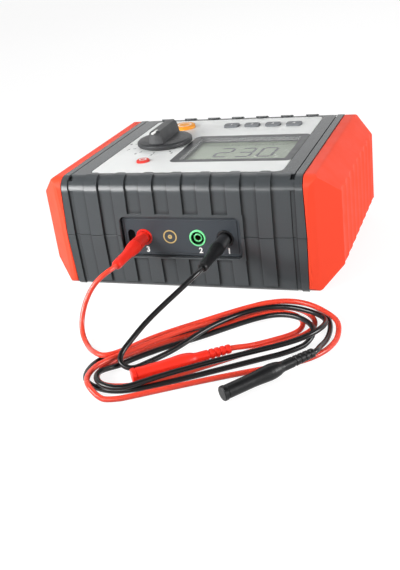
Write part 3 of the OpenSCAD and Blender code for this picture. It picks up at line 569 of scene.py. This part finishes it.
# the free socket's post ends in a lip that guides the pin: a rounded section round the bore
around = np.linspace(0, 2 * np.pi, 72, endpoint=False)[:, None]
radius = np.array([2.62, 2.05, 2.05, 2.2, 2.45, 2.62])
depth = np.array([-73.2, -73.2, -73.9, -74.1, -74.1, -73.9])
lip = np.stack([GREEN_X + radius * np.cos(around), np.broadcast_to(depth, (72, 6)),
                SOCKET_Z + radius * np.sin(around)], -1)
post_lip = link("green_post_lip", mesh_from_grid("green_post_lip", lip * MM, closed_u=True,
                                                 closed_v=True), "instrument", green_nylon)


def metal(name, colour, gloss, stretch):
    """Bare or plated metal: fine turning or drawing marks across the axis they are
    stretched on, dulled in patches."""
    skin = Finish(name)
    lines, patch = skin.noise(700, 3, stretch), skin.noise(120, 4)
    skin.send(Base_Color=skin.mix(skin.span(patch, 0.35, 0.7, 0, 1), shade(colour, 0.82),
                                  shade(colour, 1.06)),
              Metallic=1.0, Roughness=skin.span(lines, 0.3, 0.7, *gloss),
              Normal=skin.add("Bump", Strength=0.1, Distance=0.00003,
                              Height=lines).outputs[0])
    return skin.material


brass = metal("turned_brass", (0.78, 0.55, 0.2), (0.16, 0.3), (1, 14, 1))
finish(brass, "red_plug_pin", "black_plug_pin", "fuse_clips")
finish(metal("dulled_brass", (0.3, 0.23, 0.1), (0.3, 0.45), (1, 14, 1)), "contact_tubes")
steel = metal("zinc_plated_steel", (0.62, 0.63, 0.66), (0.24, 0.42), (1, 1, 9))
finish(steel, "cheek_screws", "board_screws", "cover_screws", "case_screws", "knob_shaft",
       "battery_contacts")


# ---- Plugs and free connectors ----
# Soft PVC mouldings shot over the cord. The plug swells to a ribbed grip and narrows to a
# plain neck, and the free connector has a slotted strain relief and a flanged tip.
GROOVES_FROM, GROOVE_PITCH, GROOVES = -0.0778, 0.0021, 6


def grip(name, colour, gloss, specular, groove_painted_light):
    """Soft moulding whose tone changes in the ring grooves: the distance along Y from their
    start, wrapped at their pitch, tells which points are near a groove. The colour in a
    groove is the last argument times the rest: below 1 this is painted shade in the grooves,
    above 1 painted highlight lines with pale dust."""
    skin = Finish(name)
    y = skin.add("SeparateXYZ", in_0=skin.place).outputs["Y"]
    run = skin.math("SUBTRACT", GROOVES_FROM, y)
    cell = skin.math("WRAP", run, GROOVE_PITCH, 0.0)
    near = skin.math("ABSOLUTE", skin.math("SUBTRACT", cell, GROOVE_PITCH / 2))
    whole = GROOVES * GROOVE_PITCH
    groove = skin.math("MULTIPLY", skin.span(near, 0.0003, 0.0005, 1, 0),
                       skin.math("MULTIPLY", skin.span(run, 0.0, 0.0001, 0, 1),
                                 skin.span(run, whole - 0.0001, whole, 1, 0)))
    drift, pits = skin.noise(60, 4), skin.noise(1100, 3)
    tone = skin.mix(skin.span(drift, 0.3, 0.7, 0, 1), shade(colour, 0.94), shade(colour, 1.05))
    # painted light in the grooves: their colour is the rest times the last argument
    skin.send(Base_Color=skin.mix(groove, tone, shade(colour, groove_painted_light)),
              Roughness=skin.span(skin.noise(240, 5), 0.3, 0.7, *gloss),
              Specular_IOR_Level=specular,
              Normal=skin.add("Bump", Strength=0.2, Distance=0.00008, Height=pits).outputs[0])
    return skin.material


# red plug: painted shade in its grooves; black plug: painted highlight lines with pale dust in
# its grooves
finish(grip("red_pvc_grip", (0.96, 0.028, 0.014), (0.34, 0.46), 0.38, 0.45), "red_plug")
finish(rubbery("red_pvc", (0.9, 0.028, 0.012), (0.34, 0.48), 0.38, 1100), "red_connector")
finish(grip("black_pvc_grip", (0.007, 0.0072, 0.008), (0.3, 0.42), 0.35, 5.0), "black_plug")
finish(rubbery("black_pvc", (0.008, 0.0082, 0.009), (0.32, 0.44), 0.28, 1100),
       "black_connector")


# ---- Display overlay ----
# A pale polycarbonate film, printed from behind, lies in a recess of the display face. A
# dark field surrounds the window, and the switch positions are printed as plain numbers.
FACE_Z, FILM_PRINT_Z = 78.4, 78.32
KNOB_X, KNOB_Y = -36.0, 2.0
FIELD, FIELD_CORNER = (("X", 0.026, 0.038), ("Y", -0.012, 0.026)), 0.0048


def film(name):
    """Printed film: pale grey ground, a dark rounded field where the distance to a box in
    X and Y (middle and half side in FIELD) is under its corner radius, and a fine matt
    texture."""
    skin = Finish(name)
    xyz = skin.add("SeparateXYZ", in_0=skin.place)
    far = []
    for axis, middle, half in FIELD:
        away = skin.math("ABSOLUTE", skin.math("SUBTRACT", xyz.outputs[axis], middle))
        far.append(skin.math("MAXIMUM", skin.math("SUBTRACT", away, half), 0.0))
    reach = skin.math("SQRT", skin.math("ADD", skin.math("POWER", far[0], 2.0),
                                        skin.math("POWER", far[1], 2.0)))
    dark = skin.span(reach, FIELD_CORNER - 0.0002, FIELD_CORNER, 1, 0)
    fine, drift = skin.noise(2600, 2), skin.noise(24, 3)
    pale = skin.mix(drift, (0.74, 0.76, 0.75, 1), (0.8, 0.81, 0.8, 1))
    skin.send(Base_Color=skin.mix(dark, pale, (0.02, 0.022, 0.026, 1)),
              Roughness=skin.span(skin.noise(130, 5), 0.3, 0.7, 0.3, 0.42),
              Normal=skin.add("Bump", Strength=0.12, Distance=0.00003,
                              Height=fine).outputs[0])
    return skin.material


finish(film("overlay_film"), "display_overlay")

# nine switch positions, 30 degrees apart, with a tick between each number and the knob
NUMBERS_R, TICKS_R = 27.2, (21.4, 23.8)
way = np.radians(270 - (np.arange(9) * 30 - 120))
ray = np.stack([np.cos(way), np.sin(way)], -1)
centre = np.array([KNOB_X, KNOB_Y])
for number, (x, y) in enumerate(centre + ray * NUMBERS_R, 1):
    figure(f"position_{number}", str(number), 4.2, lying(x, y, FILM_PRINT_Z), dark_ink,
           "instrument")


def strokes(name, starts, ends, width, z, material, body):
    """Printed strokes: one flat bar from each start to its end, as a box of eight points
    worked out from the stroke's direction and the width."""
    p, q = np.array(starts, float), np.array(ends, float)
    d = (q - p) / np.linalg.norm(q - p, axis=1)[:, None]
    n = np.stack([-d[:, 1], d[:, 0]], -1) * width / 2
    flat = np.stack([p - n, q - n, q + n, p + n], 1)
    low = np.concatenate([flat, np.full(flat.shape[:2] + (1,), z - INK_DEPTH / 2)], -1)
    high = np.concatenate([flat, np.full(flat.shape[:2] + (1,), z + INK_DEPTH / 2)], -1)
    points = np.concatenate([low, high], 1)
    one = np.array([[3, 2, 1, 0], [4, 5, 6, 7], [0, 1, 5, 4], [1, 2, 6, 5], [2, 3, 7, 6],
                    [3, 0, 4, 7]])
    faces = (np.arange(len(p))[:, None, None] * 8 + one).reshape(-1, 4)
    mesh = bpy.data.meshes.new(name)
    mesh.from_pydata((points.reshape(-1, 3) * MM).tolist(), [], faces.tolist())
    piece = link(name, mesh, body, material, smooth=False)
    return piece


strokes("position_ticks", centre + ray * TICKS_R[0], centre + ray * TICKS_R[1], 0.7,
        FILM_PRINT_Z, dark_ink, "instrument")


# ---- Window and display ----
# A clear acrylic pane over a liquid crystal module. The display shows plain figures and a
# bar of marks, as it does when the instrument is on.
pane = Finish("clear_acrylic")
pane.send(Base_Color=pane.mix(pane.span(pane.noise(60, 4), 0.4, 0.7, 0, 1),
                              (0.97, 0.98, 0.98, 1), (0.9, 0.93, 0.94, 1)),
          Roughness=pane.span(pane.noise(180, 5), 0.35, 0.75, 0.03, 0.09),
          Alpha=0.14, IOR=1.45)
pane.send(Normal=pane.add("Bump", Strength=0.03, Distance=0.00002,
                          Height=pane.noise(90, 2)).outputs[0])
finish(pane.material, "display_window")

glass = Finish("lcd_glass")
grid = glass.add("TexChecker", Vector=glass.place, Scale=2400.0)
shine = glass.mix(glass.span(glass.noise(30, 2), 0.3, 0.7, 0, 1), (0.30, 0.36, 0.27, 1),
                  (0.36, 0.42, 0.32, 1))
glass.send(Base_Color=glass.mix(glass.math("MULTIPLY", grid.outputs["Fac"], 0.08), shine,
                                (0.16, 0.2, 0.15, 1)),
           Roughness=glass.span(glass.noise(200, 3), 0.3, 0.7, 0.2, 0.28))
finish(glass.material, "lcd_module")

# each figure is lit bars of seven, on two squares one above the other. A bar stops short
# of the corners by a gap, and the squares are drawn out to size and slanted.
LCD_Z = 75.05
FIRST_AT, FIGURE_STEP, SQUARE = (8.0, -22.0), (15.5, 0.0), (10.0, 9.5)
SLANT = np.array([[1, 0.06], [0, 1]])
SEGMENTS = np.array([[0, 2, 1, 2], [1, 2, 1, 1], [1, 1, 1, 0], [0, 0, 1, 0], [0, 1, 0, 0],
                     [0, 2, 0, 1], [0, 1, 1, 1]], float)
LIT = {"0": (0, 1, 2, 3, 4, 5), "2": (0, 1, 6, 4, 3), "3": (0, 1, 6, 2, 3)}
starts, ends = [], []
for place, digit in enumerate("230"):
    bars = SEGMENTS[list(LIT[digit])]
    gap = (bars[:, 2:] - bars[:, :2]) * 0.09
    corner = np.array(FIRST_AT) + np.array(FIGURE_STEP) * place
    starts.append(((bars[:, :2] + gap) * SQUARE) @ SLANT.T + corner)
    ends.append(((bars[:, 2:] - gap) * SQUARE) @ SLANT.T + corner)
strokes("display_figures", np.vstack(starts), np.vstack(ends), 1.9, LCD_Z, dark_ink,
        "instrument")

# a row of 25 marks, with every fifth one longer
marks = np.arange(25)
across_x, low_y = -6 + marks * 2.5, np.where(marks % 5 == 0, 3.0, 4.2)
strokes("display_scale", np.stack([across_x, low_y], -1),
        np.stack([across_x, np.full(25, 6.4)], -1), 0.7, LCD_Z, dark_ink, "instrument")


# ---- Selector knob and keys ----
# A glass-filled nylon knob with an inlaid white pointer turns on the switch shaft. Soft
# keys, power key and start button are silicone caps that drop through the film.
finish(moulded("knob_nylon", (0.022, 0.023, 0.025), (0.4, 0.55), 2000, 0.5, 0.0006, 0.4),
       "selector_knob")
finish(white_ink, "knob_pointer")
key_grey = rubbery("key_silicone_grey", (0.16, 0.17, 0.18), (0.5, 0.65), 0.4, 1800)
finish(key_grey, "soft_key_1", "soft_key_2", "soft_key_3", "soft_key_4")
finish(rubbery("key_silicone_red", (0.6, 0.03, 0.02), (0.5, 0.62), 0.4, 1800), "power_key")
finish(rubbery("key_silicone_amber", (0.85, 0.33, 0.02), (0.48, 0.6), 0.4, 1800),
       "start_button")
SOFT_KEYS_X, KEYS_Y, POWER_Y = (2, 18, 34, 50), 44, -40
KEY_TOP, START_TOP = FACE_Z + 1.41, FACE_Z + 2.41
for number, x in enumerate(SOFT_KEYS_X, 1):
    figure(f"soft_key_figure_{number}", str(number), 4.6, lying(x, KEYS_Y, KEY_TOP),
           white_ink, f"key_{number}")
washer("power_ring", lying(KNOB_X, POWER_Y, KEY_TOP), 1.9, 2.6, white_ink, "power")
washer("start_ring", lying(KNOB_X, KEYS_Y, START_TOP), 4.4, 5.3, white_ink, "start")


# ---- Boards and parts on them ----
# Glass-fibre boards under green solder mask, with copper tracks showing through. Relays,
# transformer, capacitors, buzzer and fuse sit on the main board, with small switches.
def solder_mask(name):
    """Green mask over a weave, with paler tracks where a wave pattern peaks."""
    skin = Finish(name)
    tracks = []
    for turned in (0.0, math.pi / 2):
        where = skin.add("Mapping", Vector=skin.place, Rotation=(0, 0, turned)).outputs[0]
        wave = skin.add("TexWave", Vector=where, Scale=130.0, Distortion=1.5, Detail=1.0)
        tracks.append(skin.span(wave.outputs["Fac"], 0.82, 0.9, 0, 1))
    patch = skin.span(skin.noise(70, 1), 0.49, 0.51, 0, 1)
    both = skin.math("ADD", skin.math("MULTIPLY", tracks[0], patch),
                     skin.math("MULTIPLY", tracks[1], skin.math("SUBTRACT", 1.0, patch)))
    weave = skin.noise(1800, 2)
    skin.send(Base_Color=skin.mix(both, (0.012, 0.1, 0.035, 1), (0.03, 0.2, 0.07, 1)),
              Roughness=skin.span(weave, 0.3, 0.7, 0.28, 0.4),
              Normal=skin.add("Bump", Strength=0.2, Distance=0.00004,
                              Height=both).outputs[0])
    return skin.material


finish(solder_mask("solder_mask"), "main_board", "terminal_board")
finish(moulded("switch_nylon", (0.03, 0.1, 0.3), (0.4, 0.52), 2400, 0.3, 0.0003, 0.1),
       "switch_body")
finish(moulded("relay_case", (0.04, 0.15, 0.36), (0.22, 0.34), 2400, 0.1, 0.0003, 0.1),
       "relays")
finish(moulded("push_switch_case", (0.035, 0.036, 0.04), (0.35, 0.5), 2600, 0.2),
       "tact_switches")
finish(moulded("buzzer_case", (0.012, 0.012, 0.013), (0.4, 0.5), 2200, 0.3, 0.0003, 0.1),
       "buzzer")

wire = Finish("varnished_winding")
turns = wire.add("TexWave", Vector=wire.place, Scale=420.0, Distortion=0.4, Detail=1.0)
turns.bands_direction = "Z"
wire.send(Base_Color=wire.mix(turns.outputs["Fac"], (0.28, 0.1, 0.03, 1),
                              (0.62, 0.3, 0.1, 1)),
          Metallic=0.7, Roughness=wire.span(wire.noise(300, 3), 0.3, 0.7, 0.25, 0.4),
          Normal=wire.add("Bump", Strength=0.6, Distance=0.0001,
                          Height=turns.outputs["Fac"]).outputs[0])
finish(wire.material, "transformer")

can = Finish("sleeved_can")
up = can.add("SeparateXYZ", in_0=can.place).outputs["Z"]
bare = can.span(up, 0.0424, 0.0426, 1, 0)
can.send(Base_Color=can.mix(bare, (0.02, 0.022, 0.07, 1), (0.62, 0.62, 0.64, 1)),
         Metallic=bare, Roughness=can.span(can.noise(420, 4), 0.3, 0.7, 0.25, 0.38),
         Normal=can.add("Bump", Strength=0.1, Distance=0.00004,
                        Height=can.noise(800, 2)).outputs[0])
finish(can.material, "capacitors")

ceramic = Finish("fuse_ceramic_body")
along = ceramic.add("SeparateXYZ", in_0=ceramic.place).outputs["X"]
capped = ceramic.span(ceramic.math("ABSOLUTE", ceramic.math("ADD", along, 0.004)),
                      0.0098, 0.01, 0, 1)
ceramic.send(Base_Color=ceramic.mix(capped, (0.72, 0.68, 0.58, 1), (0.66, 0.66, 0.68, 1)),
             Metallic=capped, Roughness=ceramic.span(ceramic.noise(500, 4), 0.3, 0.7, 0.2,
                                                     0.45),
             Normal=ceramic.add("Bump", Strength=0.15, Distance=0.00004,
                                Height=ceramic.noise(1500, 2)).outputs[0])
finish(ceramic.material, "fuse_link")


# ---- Battery, cover and feet ----
# Six plain-jacketed cells lie in three rows of two under a screwed cover on the underside.
# The instrument stands on four moulded rubber feet.
BAND_X = 0.0445
jacket = Finish("cell_jacket")
from_middle = jacket.math("ABSOLUTE", jacket.add("SeparateXYZ", in_0=jacket.place).outputs["X"])
from_band = jacket.math("ABSOLUTE", jacket.math("SUBTRACT", from_middle, BAND_X))
ring = jacket.span(from_band, 0.0038, 0.004, 1, 0)
jacket.send(Base_Color=jacket.mix(ring, (0.035, 0.05, 0.075, 1), (0.5, 0.3, 0.08, 1)),
            Metallic=jacket.span(ring, 0, 1, 0.2, 0.8),
            Roughness=jacket.span(jacket.noise(260, 4), 0.3, 0.7, 0.2, 0.36),
            Normal=jacket.add("Bump", Strength=0.08, Distance=0.00004,
                              Height=jacket.noise(900, 3)).outputs[0])
finish(jacket.material, "battery_cells")
finish(rubbery("foot_rubber", (0.012, 0.012, 0.013), (0.6, 0.78), 0.3, 900), "feet")
